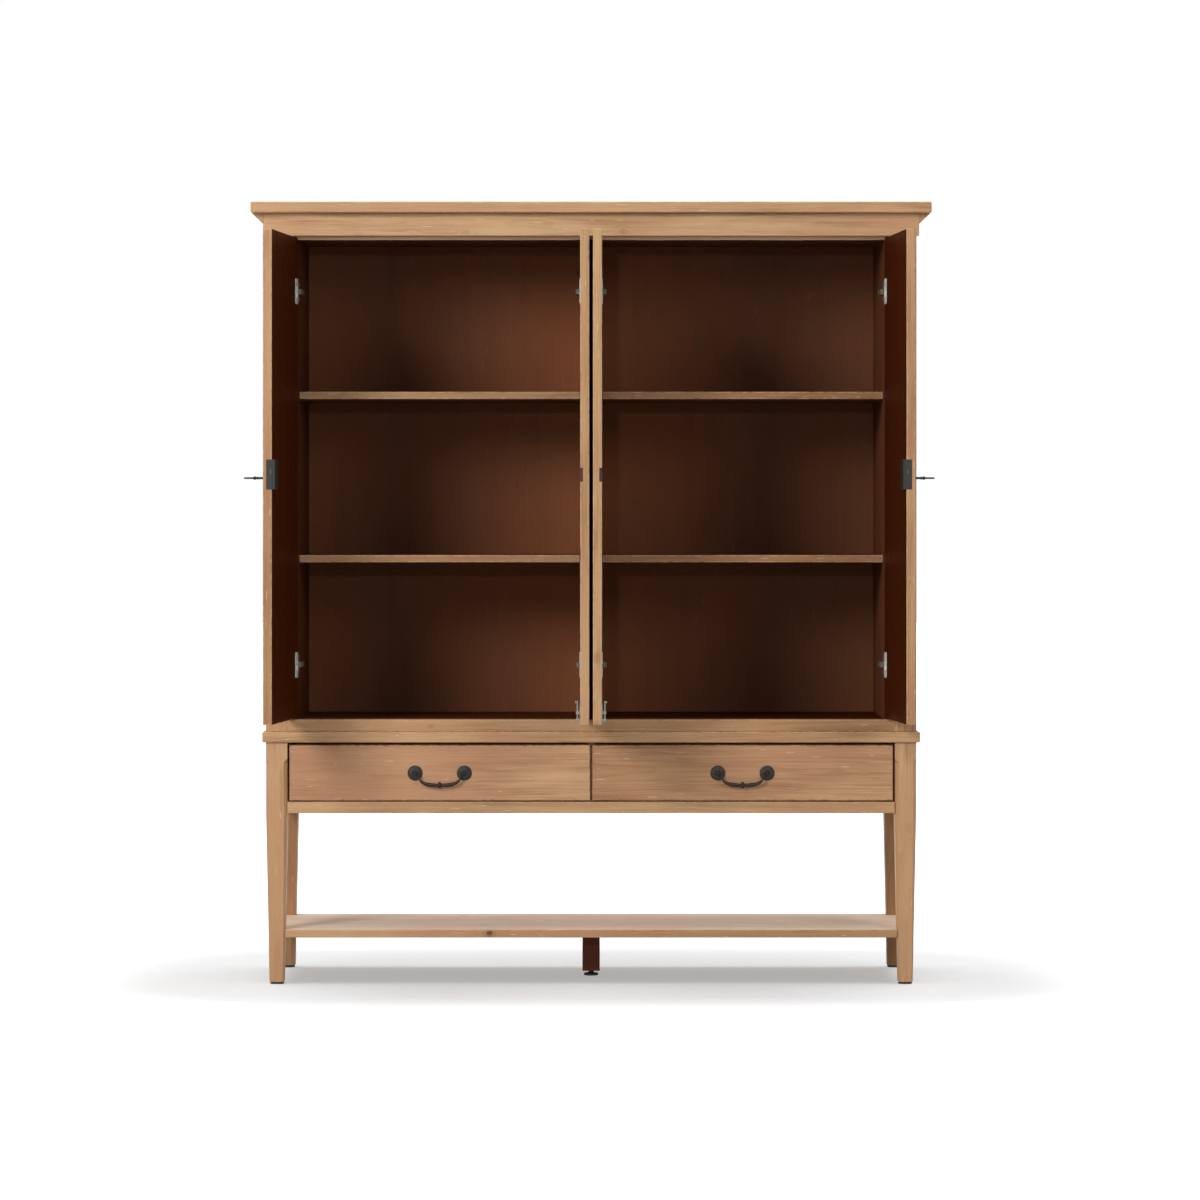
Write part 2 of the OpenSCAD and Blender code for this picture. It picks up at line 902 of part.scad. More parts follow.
module base_aprons() {
    x1 = half_w - side_set;
    color(pine) {
        both_sides()
            board([x1 - side_rail_t, y_face + post_w, apron_z], [x1, y_rear - post_w, waist_z]);
        board([-post_in, y_rear - side_set - side_rail_t, apron_z], [post_in, y_rear - side_set, waist_z]);
    }
}

module drawer_divider() {
    color(pine)
        board([-divider_t / 2, box_y + 1, rail_z], [divider_t / 2, y_rear - side_set - side_rail_t, waist_z], ease / 4);
}

module drawer_runners() {
    y0 = y_face + rail_set + drawer_rail_d;
    l = y_rear - side_set - side_rail_t - y0;
    x0 = box_out - runner_w;
    color(pine) {
        both_sides() {
            board([x0, y0, rail_z - runner_t], [post_in, y0 + l, rail_z], ease / 4);
            board([box_out + fit, y0, rail_z + seam], [post_in, y0 + l, rail_z + guide_h], ease / 4);
        }
        board([-45, y0, rail_z - runner_t], [45, y0 + l, rail_z], ease / 4);
    }
}

module lower_shelf() {
    reach = leg_half(low_shelf_top);
    cut = reach + fit;
    color(pine)
        difference() {
            board([-leg_x - reach + 1, -leg_y - reach + 1, low_shelf_z],
                  [leg_x + reach - 1, leg_y + reach - 1, low_shelf_top]);
            for (sx = [-1, 1], sy = [-1, 1])
                translate([sx * (leg_x + post_w / 2 - cut), sy * (leg_y + post_w / 2 - cut), low_shelf_z + low_shelf_t / 2])
                    cube([post_w, post_w, low_shelf_t + 2], center = true);
        }
}

// Middle foot, with the screw of its glide in a bore
stem_r = 4;
stem_l = 26;

module middle_foot() {
    h = mid_foot_w / 2;
    color(dark_wood)
        difference() {
            board([-h, -h, mid_foot_gap], [h, h, low_shelf_z]);
            translate([0, 0, mid_foot_gap - 1])
                cylinder(r = stem_r + run, h = stem_l + 5);
        }
}

module middle_glide() {
    r = mid_glide_d / 2;
    color(black)
        rotate_extrude()
            polygon([
                [0, 0], [r - 1, 0], [r, 1.5], [r, 5], [r - 2, 6.5], [7, 8], [7, mid_foot_gap - 2],
                [stem_r, mid_foot_gap - 2], [stem_r, mid_foot_gap + stem_l], [0, mid_foot_gap + stem_l]
            ]);
}

// Drawers, drawn on the right
module drawer_front() {
    color(pine)
        board([drawer_mid_gap / 2, y_face, drawer_z],
              [post_in - drawer_side_gap, box_y, drawer_z + drawer_h]);
}

module drawer_box() {
    groove = 4;
    y1 = box_y + drawer_l;
    floor_0 = box_z + 10;
    floor_1 = floor_0 + drawer_bottom_t;
    x0 = box_in + drawer_side_t;
    x1 = box_out - drawer_side_t;
    color(pine) {
        difference() {
            union() {
                board([box_in, box_y, box_z], [x0, y1, box_z + drawer_side_h]);
                board([x1, box_y, box_z], [box_out, y1, box_z + drawer_side_h]);
            }
            translate([x0 - groove, box_y - 1, floor_0])
                cube([x1 - x0 + 2 * groove, drawer_l + 2, drawer_bottom_t]);
        }
        board([x0 + seam, y1 - drawer_side_t, floor_1 + seam], [x1 - seam, y1, box_z + drawer_side_h]);
        board([x0 - groove + seam, box_y, floor_0 + seam], [x1 + groove - seam, y1, floor_1 - seam], ease / 4);
    }
}

module pull_posts() {
    r = rosette_d / 2;
    ball = pin_r + 3;
    color(iron)
        for (s = [-1, 1])
            difference() {
                translate([pull_x + s * pull_span / 2, y_face, pull_z])
                    rotate([90, 0, 0])
                        rotate_extrude() {
                            polygon([
                                [0, 0], [r, 0], [r, 1.2], [r - 1.5, 2.4], [r - 6, 3.6], [r - 11, 4.6],
                                [ball - 2, 5], [ball - 2, bail_out], [0, bail_out]
                            ]);
                            translate([0, bail_out])
                                intersection() {
                                    circle(r = ball);
                                    translate([0, -ball])
                                        square([ball, 2 * ball]);
                                }
                        }
                rod_x([pull_x + s * pull_span / 2 - ball - 1, bail_y, pull_z], pin_r + run, 2 * ball + 2);
            }
}

// Bail: one swept body with a pin at each end, a bend, half a superellipse and a knot in its middle
bail_a = pull_span / 2 - pin_r - 6.7;
bail_n = 3;
bail_bend = 3;
pin_end = 9;
ring_sides = 16;
knot_rings = [[0, 8.6], [1.3, 8.4], [2.4, 7.9], [3.6, 6.6], [4.6, 5.2], [5.4, 4.4], [6.9, 4.4], [7.1, 3.8]];
curve_angles = [85.5, 83, 80, 75, 70, 65, 60, 55, 50, 45, 40, 35, 30, 25, 20, 15, 10, 6, 3];
function bail_curve(t) = [bail_a * pow(cos(t), 2 / bail_n), -bail_drop * pow(sin(t), 2 / bail_n)];
function bail_r(u) = pin_r + (bail_mid_d / 2 - pin_r)
    * (u > 0.45 ? cos(90 * (u - 0.45) / 0.55) : 1 - 0.5 * pow(1 - u / 0.45, 2));

// Rings from the middle of the bail to the end of its pin: x, z, direction along the bail, radius
half_rings = concat(
    [for (k = knot_rings) [k[0], -bail_drop, 1, 0, k[1]]],
    [for (t = curve_angles)
        let (p = bail_curve(t), d = bail_curve(t - 0.2) - bail_curve(t + 0.2), e = d / norm(d))
        [p[0], p[1], e[0], e[1], bail_r(p[0] / bail_a)]],
    [for (w = [180 : -22.5 : 90])
        [bail_a + bail_bend + bail_bend * cos(w), bail_bend * sin(w) - bail_bend, sin(w), -cos(w), pin_r]],
    [[pull_span / 2 + pin_end, 0, 1, 0, pin_r]]
);
half_n = len(half_rings);
bail_rings = concat(
    [for (i = [half_n - 1 : -1 : 1])
        let (q = half_rings[i])
        [-q[0], q[1], q[2], -q[3], q[4]]],
    half_rings
);
function ring_points(q) =
    [for (k = [0 : ring_sides - 1])
        let (c = q[4] * cos(360 * k / ring_sides), s = q[4] * sin(360 * k / ring_sides))
        [q[0] - q[3] * c, s, q[1] + q[2] * c]];

module bail() {
    n = ring_sides;
    last = len(bail_rings) - 1;
    points = [for (q = bail_rings) each ring_points(q)];
    sides = [for (i = [0 : last - 1], k = [0 : n - 1], half = [0, 1])
        half == 0
            ? [i * n + k, i * n + (k + 1) % n, (i + 1) * n + k]
            : [i * n + (k + 1) % n, (i + 1) * n + (k + 1) % n, (i + 1) * n + k]];
    ends = [[for (k = [0 : n - 1]) n - 1 - k], [for (k = [0 : n - 1]) last * n + k]];
    color(iron)
        translate([pull_x, bail_y, pull_z])
            polyhedron(points, concat(sides, ends), convexity = 4);
}

top_board();
frieze_board();
side_crowns();
upper_posts();
outer_side_panels();
outer_side_rails();
top_rail();
bottom_rail();
front_stiles();
inner_side_panels();
partition_panels();
case_top();
case_floor();
back_panels();
shelves();
shelf_lippings();
shelf_pins();
hinge_arms();
waist_board();
legs();
drawer_rail();
base_aprons();
drawer_divider();
drawer_runners();
lower_shelf();
middle_foot();
leg_glides();
middle_glide();
left_outer() door_frame(true);  // left_outer_door_frame
left_outer() door_panel();  // left_outer_door_panel
left_outer() hinge_cups(angle_left);  // left_outer_hinge_cups
left_inner() door_frame(false);  // left_inner_door_frame
left_inner() door_panel();  // left_inner_door_panel
left_inner() hinge_cups(angle_middle);  // left_inner_hinge_cups
right_inner() door_frame(false);  // right_inner_door_frame
right_inner() door_panel();  // right_inner_door_panel
right_inner() hinge_cups(angle_middle);  // right_inner_hinge_cups
right_outer() door_frame(true);  // right_outer_door_frame
right_outer() door_panel();  // right_outer_door_panel
right_outer() hinge_cups(angle_right);  // right_outer_hinge_cups
left_outer() lock_case();  // left_lock_case
left_outer() lock_bolt();  // left_lock_bolt
left_outer() key();  // left_key
right_outer() lock_case();  // right_lock_case
right_outer() lock_bolt();  // right_lock_bolt
right_outer() key();  // right_key
left_inner() strike();  // left_strike
left_inner() slide_plate();  // left_slide_plate
left_inner() slide_rod();  // left_slide_rod
right_inner() strike();  // right_strike
right_inner() slide_plate();  // right_slide_plate
right_inner() slide_rod();  // right_slide_rod
mirror([1, 0, 0]) drawer_front();  // left_drawer_front
mirror([1, 0, 0]) drawer_box();  // left_drawer_box
mirror([1, 0, 0]) pull_posts();  // left_pull_posts
mirror([1, 0, 0]) bail();  // left_bail
drawer_front();  // right_drawer_front
drawer_box();  // right_drawer_box
pull_posts();  // right_pull_posts
bail();  // right_bail
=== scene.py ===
import math
import random

import bmesh
import bpy
from mathutils import Matrix, Vector


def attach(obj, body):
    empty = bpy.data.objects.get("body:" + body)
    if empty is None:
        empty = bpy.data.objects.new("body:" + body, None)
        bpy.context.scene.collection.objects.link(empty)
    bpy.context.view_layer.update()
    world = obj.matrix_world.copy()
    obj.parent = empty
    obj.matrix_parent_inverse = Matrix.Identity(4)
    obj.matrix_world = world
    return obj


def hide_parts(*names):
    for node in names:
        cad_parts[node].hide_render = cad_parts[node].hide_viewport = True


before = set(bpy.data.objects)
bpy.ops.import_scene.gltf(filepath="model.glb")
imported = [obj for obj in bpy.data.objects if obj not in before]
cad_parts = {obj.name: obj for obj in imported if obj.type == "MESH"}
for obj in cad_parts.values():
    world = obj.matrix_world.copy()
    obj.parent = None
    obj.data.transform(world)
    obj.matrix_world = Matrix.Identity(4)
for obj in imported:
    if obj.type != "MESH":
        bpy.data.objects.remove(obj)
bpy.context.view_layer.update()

MM = 0.001
WHITE = (1, 1, 1, 1)


# Materials

# Knots, dashes and pits lie in cells of the wood, counted per metre along the grain, across it and
# through it. The second numbers turn a step in the cells into metres for knots, which are longer along
# the grain, and into millimetres for dashes and pits
KNOT_CELLS = (5.2, 17, 17)
KNOT_OVAL = (0.143, 0.059, 0.059)
DASH_CELLS = (14.0, 85.0)
DASH_MM = (71, 11.8, 0)
PIT_CELLS = (17, 24, 24)
PIT_MM = (40, 41.7, 41.7)

# The least and largest radius of a knot in metres, and in millimetres that of a pit and half the length
# of a dash
KNOT_RADII = (1.5 * MM, 6 * MM)
PIT_RADII = (0.7, 2.2)
DASH_HALVES = (3.0, 17.0)

# How fast the bend of the rings fades away from a knot
BEND_FADE = 0.16
EULER = 2.718

# Radius over which the edges of metal look soft
SOFT_EDGE = 0.5 * MM


def srgb(r, g, b):
    """A colour as it looks on screen, 0 to 255, as the linear colour that a shader takes."""
    out = [v / 3294.6 if v <= 10 else ((v / 255 + 0.055) / 1.055) ** 2.4 for v in (r, g, b)]
    return (*out, 1.0)


class Nodes:
    """A node tree that starts empty, with short names for the nodes that go into it."""

    def __init__(self, tree):
        self.tree = tree
        self.tree.nodes.clear()

    def put(self, socket, value):
        if isinstance(value, bpy.types.NodeSocket):
            self.tree.links.new(value, socket)
        else:
            socket.default_value = value

    def node(self, kind, inputs=(), **settings):
        n = self.tree.nodes.new(kind)
        for key, value in settings.items():
            setattr(n, key, value)
        for key, value in dict(inputs).items():
            self.put(n.inputs[key], value)
        return n

    def math(self, operation, a, b=0.0, clamp=False):
        n = self.node("ShaderNodeMath", {0: a, 1: b}, operation=operation, use_clamp=clamp)
        return n.outputs[0]

    def vector(self, operation, a, b=(0, 0, 0)):
        n = self.node("ShaderNodeVectorMath", {0: a}, operation=operation)
        if operation == "SCALE":
            self.put(n.inputs["Scale"], b)
        else:
            self.put(n.inputs[1], b)
        return n.outputs["Value"] if operation in ("LENGTH", "DOT_PRODUCT") else n.outputs["Vector"]

    def attribute(self, name):
        return self.node("ShaderNodeAttribute", attribute_name=name).outputs["Vector"]

    def split(self, v):
        return self.node("ShaderNodeSeparateXYZ", {0: v}).outputs

    def join(self, x, y, z=0.0):
        return self.node("ShaderNodeCombineXYZ", {0: x, 1: y, 2: z}).outputs[0]

    def noise(self, v, scale=1.0, detail=2.0, rough=0.5):
        inputs = {"Vector": v, "Scale": scale, "Detail": detail, "Roughness": rough}
        return self.node("ShaderNodeTexNoise", inputs).outputs["Fac"]

    def veins(self, grain, cells, detail, rough=0.5):
        """Noise drawn out along the grain, by its cells per metre along it, across it and through it."""
        return self.noise(self.vector("MULTIPLY", grain, cells), 1.0, detail, rough)

    def cells(self, v, dimensions="2D"):
        inputs = {"Vector": v, "Scale": 1.0}
        return self.node("ShaderNodeTexVoronoi", inputs, voronoi_dimensions=dimensions).outputs

    def total(self, *parts):
        """The sum of the parts, each a socket alone or with its weight."""
        parts = [self.math("MULTIPLY", *part) if isinstance(part, tuple) else part for part in parts]
        out = parts[0]
        for part in parts[1:]:
            out = self.math("ADD", out, part)
        return out

    def span(self, value, low, high, to_low=0.0, to_high=1.0, kind="LINEAR"):
        """The value moved from one range to another, and held at its ends."""
        n = self.node("ShaderNodeMapRange", {"Value": value, "From Min": low, "From Max": high,
                                             "To Min": to_low, "To Max": to_high},
                      interpolation_type=kind, clamp=True)
        return n.outputs["Result"]

    def mix(self, fac, a, b, blend="MIX"):
        n = self.node("ShaderNodeMix", data_type="RGBA", blend_type=blend)
        self.put(n.inputs[0], fac)
        self.put(n.inputs[6], a)
        self.put(n.inputs[7], b)
        return n.outputs[2]

    def bump(self, height, distance, normal=None):
        n = self.node("ShaderNodeBump", {"Height": height, "Distance": distance})
        if normal is not None:
            self.put(n.inputs["Normal"], normal)
        return n.outputs[0]

    def seen(self):
        """1 for the rays of the camera, a mirror or glass, and 0 for the rays that light the object."""
        path = self.node("ShaderNodeLightPath").outputs
        mirrored = self.math("MAXIMUM", path["Is Glossy Ray"], path["Is Transmission Ray"])
        return self.math("MAXIMUM", path["Is Camera Ray"], mirrored)

    def blend(self, share, a, b):
        return self.node("ShaderNodeMixShader", {0: share, 1: a.outputs[0], 2: b.outputs[0]})


class Shader(Nodes):
    """The nodes of one material with a Principled shader."""

    def __init__(self, name):
        self.material = bpy.data.materials.new(name)
        self.material.use_nodes = True
        super().__init__(self.material.node_tree)
        self.bsdf = self.node("ShaderNodeBsdfPrincipled")
        self.output = self.node("ShaderNodeOutputMaterial", {0: self.bsdf.outputs[0]})

    def set(self, **sockets):
        for key, value in sockets.items():
            self.put(self.bsdf.inputs[key.replace("_", " ")], value)
        return self.material


def spots(s, grain, cells, scale, radii, empty):
    """Round spots in cells of the wood: how near they are in radii, which cells have one, and its tone."""
    cell = s.vector("MULTIPLY", grain, cells)
    found = s.cells(cell, "3D")
    away = s.vector("MULTIPLY", s.vector("SUBTRACT", cell, found["Position"]), scale)
    pick, size, tone = s.split(found["Color"])
    near = s.math("DIVIDE", s.vector("LENGTH", away), s.span(size, 0, 1, *radii))
    return near, s.math("GREATER_THAN", pick, empty), tone


def dashes(s, grain, fibre, empty):
    """Short marks along the grain with ragged sides: where they are, and how pale."""
    x, y, z = s.split(grain)
    across = s.math("ADD", y, z)
    cell = s.join(s.math("MULTIPLY", x, DASH_CELLS[0]), s.math("MULTIPLY", across, DASH_CELLS[1]))
    found = s.cells(cell)
    away = s.vector("MULTIPLY", s.vector("SUBTRACT", cell, found["Position"]), DASH_MM)
    off_x, off_y, _ = s.split(away)
    pick, size, tone = s.split(found["Color"])
    near = s.math("DIVIDE", s.math("ABSOLUTE", off_x), s.span(size, 0, 1, *DASH_HALVES))
    ragged = s.math("ADD", off_y, s.span(fibre, 0.3, 0.7, -0.4, 0.4))
    sides = s.span(s.math("ABSOLUTE", ragged), 0.35, 0.9, 1, 0)
    marks = s.math("MULTIPLY", s.span(near, 0.6, 1.0, 1, 0), sides)
    return s.math("MULTIPLY", marks, s.math("GREATER_THAN", pick, empty)), s.span(tone, 0, 1, 0.35, 0.9)


def edge_and_end(s):
    """The way to the strip's nearest edge, the second smallest distance to its faces, and to its end."""
    ways = s.vector("SUBTRACT", s.attribute("half"), s.vector("ABSOLUTE", s.attribute("place")))
    dx, dy, dz = s.split(ways)
    least = s.math("MINIMUM", dx, s.math("MINIMUM", dy, dz))
    most = s.math("MAXIMUM", dx, s.math("MAXIMUM", dy, dz))
    every = s.math("ADD", dx, s.math("ADD", dy, dz))
    return s.math("SUBTRACT", s.math("SUBTRACT", every, least), most), dx


def wood(name, light, mid, deep, warm, *, tint, knot, pale, worn, ring_mm, contrast, dents, rough, gloss):
    """Solid sawn wood, from the attributes that boards gives to each corner of a face.

    grain is the place in the tree, along the grain, across it and through it. half is half the strip's
    size and place is the corner's own place in the strip, both in that order. tone has two random tones
    of the strip and how far it takes the tint. In dents, knots, dashes and pits are the share of the
    cells that stay without one, edges and ends are how strongly these are marked, and relief is the
    height of the grain in millimetres."""
    s = Shader(name)
    grain = s.attribute("grain")
    _, y, z = s.split(grain)
    tone_a, tone_b, tint_depth = s.split(s.attribute("tone"))
    fibre = s.veins(grain, (14, 900, 900), 3, 0.6)
    streak = s.veins(grain, (4, 120, 120), 4, 0.6)
    broad = s.veins(grain, (3, 14, 14), 3)
    cloud = s.veins(grain, (2.4, 5, 5), 3)

    # Knots, and growth rings round a pith beside the strip, which bend round the knots
    near, has_knot, deepness = spots(s, grain, KNOT_CELLS, KNOT_OVAL, KNOT_RADII, dents["knots"])
    core = s.math("MULTIPLY", s.span(near, 0.75, 1.25, 1, 0, "SMOOTHSTEP"), has_knot)
    halo = s.math("MULTIPLY", s.span(near, 1.0, 3.2, 0.55, 0, "SMOOTHSTEP"), has_knot)
    fading = s.math("POWER", EULER, s.math("MULTIPLY", s.math("MULTIPLY", near, near), -BEND_FADE))
    bend = s.math("MULTIPLY", fading, has_knot)
    pith = s.vector("LENGTH", s.join(0.0, y, z))
    flow = s.veins(grain, (1.1, 7, 7), 3)
    flow_fine = s.veins(grain, (7, 40, 40), 2)
    rings = s.total(pith, (flow, 0.035), (flow_fine, 0.0035), (bend, 0.012))
    phase = s.math("FRACT", s.math("DIVIDE", rings, ring_mm * MM))
    late = s.math("MULTIPLY", s.math("POWER", phase, 2.2), s.span(phase, 0.93, 1.0, 1, 0))

    # Tone: light and deep wood by rings and streaks, warmer areas, knots, and the tint, which by the place
    # also paints shade and light
    shade = s.total((late, 0.5 * contrast),
                    s.span(streak, 0.36, 0.68, 0, 0.62 * contrast),
                    s.span(fibre, 0.4, 0.7, -0.1 * contrast, 0.3 * contrast),
                    s.span(broad, 0.4, 0.66, -0.2 * contrast, 0.5 * contrast))
    shade = s.math("ADD", shade, s.span(tone_a, 0, 1, -0.12, 0.16), clamp=True)
    colour = s.mix(s.span(shade, 0.0, 0.5), light, mid)
    colour = s.mix(s.span(shade, 0.45, 1.15), colour, deep)
    warmth = s.math("MULTIPLY", s.span(cloud, 0.45, 0.62, 0, 0.75), s.span(tone_b, 0, 1, 0.5, 1.0))
    colour = s.mix(warmth, colour, warm)
    colour = s.mix(halo, colour, deep)
    colour = s.mix(s.math("MULTIPLY", core, s.span(deepness, 0, 1, 0.6, 0.95)), colour, knot)
    colour = s.mix(tint_depth, colour, s.mix(1.0, colour, tint, "MULTIPLY"))

    # Pale dashes and dark pits
    scratch, paleness = dashes(s, grain, fibre, dents["dashes"])
    colour = s.mix(s.math("MULTIPLY", scratch, paleness), colour, pale)
    pit_near, has_pit, _ = spots(s, grain, PIT_CELLS, PIT_MM, PIT_RADII, dents["pits"])
    pit = s.math("MULTIPLY", s.span(pit_near, 0.5, 1.0, 1, 0), has_pit)
    colour = s.mix(s.math("MULTIPLY", pit, 0.75), colour, knot)

    # Rubbed edges, which on the drawer fronts are a painted shade of the gaps round them, and darker sawn
    # ends
    edge, end = edge_and_end(s)
    rub = s.veins(grain, (60, 60, 60), 3, 0.6)
    edge = s.math("ADD", edge, s.span(rub, 0.3, 0.7, 2.2 * MM, -2.2 * MM))
    rubbed = s.span(edge, 0.6 * MM, 3.2 * MM, 0.62, 0, "SMOOTHSTEP")
    colour = s.mix(s.math("MULTIPLY", rubbed, dents["edges"]), colour, worn)
    sawn = s.span(end, 0.0, 1.6 * MM, 0.34, 0)
    colour = s.mix(s.math("MULTIPLY", sawn, dents["ends"]), colour, deep)

    height = s.total((fibre, 0.5), (late, 0.45), (scratch, -0.9), (pit, -1.6), (core, 0.3))
    dull = s.total(s.veins(grain, (20, 160, 160), 3), (scratch, 0.4))
    return s.set(Base_Color=colour, Specular_IOR_Level=gloss,
                 Roughness=s.span(dull, 0.3, 0.8, rough - 0.09, rough + 0.12),
                 Normal=s.bump(height, dents["relief"] * MM))


def metal(name, base, second, rub, *, scale, roughness, metallic, relief, patches):
    """Forged or plated metal with two tones in patches, rubbed bright edges and a hammered face.

    scale is the number of blows per metre, relief is the height of the blows in millimetres, and
    patches is how far the second tone goes."""
    s = Shader(name)
    at = s.node("ShaderNodeTexCoord").outputs["Object"]
    blows = s.cells(s.vector("SCALE", at, scale), "3D")["Distance"]
    fine = s.noise(at, scale * 7, 4, 0.65)
    patch = s.noise(at, scale * 0.45, 3, 0.55)
    soft = s.node("ShaderNodeBevel", {"Radius": SOFT_EDGE}, samples=4).outputs[0]
    geometry = s.node("ShaderNodeNewGeometry").outputs["Normal"]
    sharp = s.math("SUBTRACT", 1.0, s.vector("DOT_PRODUCT", soft, geometry))
    colour = s.mix(s.span(patch, 0.35, 0.65, 0, patches), base, second)
    sharp = s.math("ADD", sharp, s.span(fine, 0.4, 0.7, -0.03, 0.03))
    colour = s.mix(s.span(sharp, 0.02, 0.14, 0, 0.7), colour, rub)
    height = s.total((blows, 0.8), (fine, 0.35))
    return s.set(Base_Color=colour, Metallic=metallic,
                 Roughness=s.span(fine, 0.3, 0.75, roughness - 0.08, roughness + 0.14),
                 Normal=s.bump(height, relief * MM, normal=soft))


# Bare pine has knots and marks, and stained wood is plain, even and dull. A wood's first four colours
# are its light, middle, deep and warm tone, and a metal's three are its two tones and its rubbed edges
BARE = {"ring_mm": 4.2, "gloss": 0.4}
STAINED = {
    "ring_mm": 2.2, "contrast": 0.26, "rough": 0.5,
    "dents": {"knots": 0.985, "dashes": 0.97, "pits": 0.985, "edges": 0.1, "ends": 0.4, "relief": 0.03},
}
# The pine's tint: as a number it ages the wood, and by the place it paints shade where less light falls
AGE_AND_SHADE_TINT = (0.56, 0.44, 0.32, 1)
SHELTERED = {"knots": 0.6, "dashes": 0.86, "pits": 0.8, "edges": 0.6, "ends": 1.0, "relief": 0.35}

PINE = wood(
    "pine", srgb(199, 161, 118), srgb(183, 143, 101), srgb(140, 99, 63), srgb(184, 136, 98),
    tint=AGE_AND_SHADE_TINT, knot=srgb(74, 48, 32), pale=srgb(224, 198, 162), worn=srgb(202, 167, 128),
    dents={"knots": 0.5, "dashes": 0.86, "pits": 0.8, "edges": 0.8, "ends": 1.0, "relief": 0.35},
    contrast=0.72, rough=0.52, **BARE)
# The drawer fronts' worn colour is dark: it paints shade on their rims, which widens the dark gaps round
# the drawers
FRONT = wood(
    "pine_front", srgb(196, 155, 114), srgb(182, 139, 100), srgb(140, 98, 64), srgb(184, 134, 99),
    tint=AGE_AND_SHADE_TINT, knot=srgb(74, 48, 32), pale=srgb(226, 198, 164), worn=srgb(84, 56, 37),
    dents={"knots": 0.98, "dashes": 0.87, "pits": 0.7, "edges": 1.0, "ends": 1.0, "relief": 0.35},
    contrast=0.72, rough=0.52, **BARE)
# Painted sheen: a pale, greyish pine for the lower shelf's top, standing in for the sheen of the bright
# room on it
SHEEN_PINE = wood(
    "pine_painted_sheen", srgb(241, 216, 192), srgb(230, 202, 177), srgb(192, 160, 136), srgb(232, 200, 174),
    tint=WHITE, knot=srgb(96, 68, 50), pale=srgb(234, 214, 196), worn=srgb(208, 176, 144),
    dents=SHELTERED, contrast=0.6, rough=0.6, **BARE)
RAIL = wood(
    "pine_rail", srgb(225, 185, 147), srgb(215, 173, 136), srgb(180, 137, 104), srgb(217, 171, 134),
    tint=WHITE, knot=srgb(96, 68, 50), pale=srgb(228, 196, 162), worn=srgb(202, 166, 130),
    dents=SHELTERED, contrast=0.6, rough=0.6, **BARE)
STAIN = wood(
    "dark_wood", srgb(106, 64, 42), srgb(96, 56, 36), srgb(74, 40, 24), srgb(108, 60, 36),
    tint=(0.34, 0.19, 0.08, 1), knot=srgb(36, 19, 12), pale=srgb(118, 74, 48), worn=srgb(96, 56, 36),
    gloss=0.03, **STAINED)
VENEER = wood(
    "dark_veneer", srgb(138, 85, 56), srgb(126, 76, 49), srgb(100, 56, 35), srgb(142, 82, 50),
    tint=(0.56, 0.63, 0.74, 1), knot=srgb(36, 19, 12), pale=srgb(150, 98, 66), worn=srgb(126, 76, 49),
    gloss=0.03, **STAINED)
# Painted light: a stain lighter than the case's, which brightens the middle foot where it stands in the
# shade under the lower shelf
LIT_FOOT = wood(
    "foot_stain_painted_light", srgb(132, 78, 58), srgb(120, 68, 50), srgb(94, 52, 37), srgb(134, 74, 54),
    tint=WHITE, knot=srgb(36, 19, 12), pale=srgb(150, 96, 72), worn=srgb(120, 68, 50),
    gloss=0.1, **STAINED)

IRON = metal(
    "iron", srgb(30, 26, 24), srgb(45, 39, 35), srgb(94, 84, 76),
    scale=330, roughness=0.48, metallic=0.6, relief=0.4, patches=0.8)
PLATE = metal(
    "nickel_plate", srgb(226, 223, 216), srgb(204, 201, 194), srgb(240, 238, 232),
    scale=900, roughness=0.42, metallic=0.2, relief=0.02, patches=0.6)
# Painted shade: the hinge arms are the plates' nickel, painted darker for the shade they stand in
SHADED_NICKEL = metal(
    "nickel_arm_painted_shade", srgb(104, 97, 88), srgb(78, 72, 65), srgb(138, 130, 119),
    scale=900, roughness=0.56, metallic=0.3, relief=0.03, patches=0.7)
BOLT = metal(
    "nickel_bolt", srgb(142, 138, 130), srgb(92, 88, 82), srgb(196, 192, 184),
    scale=900, roughness=0.45, metallic=0.5, relief=0.03, patches=0.9)
DULL = metal(
    "dull_nickel", srgb(78, 76, 72), srgb(60, 58, 55), srgb(112, 110, 105),
    scale=900, roughness=0.5, metallic=0.5, relief=0.03, patches=0.7)
STEEL = metal(
    "lock_steel", srgb(24, 22, 20), srgb(20, 18, 16), srgb(52, 49, 45),
    scale=420, roughness=0.64, metallic=0.15, relief=0.05, patches=0.9)
BRONZE = metal(
    "strike_bronze", srgb(70, 46, 32), srgb(52, 34, 24), srgb(104, 74, 52),
    scale=420, roughness=0.6, metallic=0.2, relief=0.05, patches=0.9)
# Painted shade: a darker copy of the lock's steel for the part of the lock that stands behind the door's
# face
SHADED_STEEL = metal(
    "lock_steel_painted_shade", srgb(22, 19, 17), srgb(15, 13, 12), srgb(44, 40, 37),
    scale=420, roughness=0.62, metallic=0.2, relief=0.05, patches=0.9)


def plastic(name):
    """Black moulded plastic with a fine grit and some dust."""
    s = Shader(name)
    at = s.node("ShaderNodeTexCoord").outputs["Object"]
    grit = s.noise(at, 1800, 3, 0.6)
    dust = s.noise(at, 120, 3, 0.6)
    return s.set(Base_Color=s.mix(s.span(dust, 0.45, 0.7, 0, 0.6), srgb(22, 22, 22), srgb(58, 54, 50)),
                 Roughness=s.span(dust, 0.3, 0.7, 0.45, 0.7), Normal=s.bump(grit, 0.08 * MM))


BLACK = plastic("glide_black")


# Doors as the photograph shows them: place of the hinge, hand, and opening in degrees
HINGES = {
    "left_outer_door": (-0.7795, 1, 96.0),
    "left_inner_door": (-0.0126, -1, 90.0),
    "right_inner_door": (0.0126, 1, 90.0),
    "right_outer_door": (0.7795, -1, 94.5),
}
HINGE_Y = -0.242

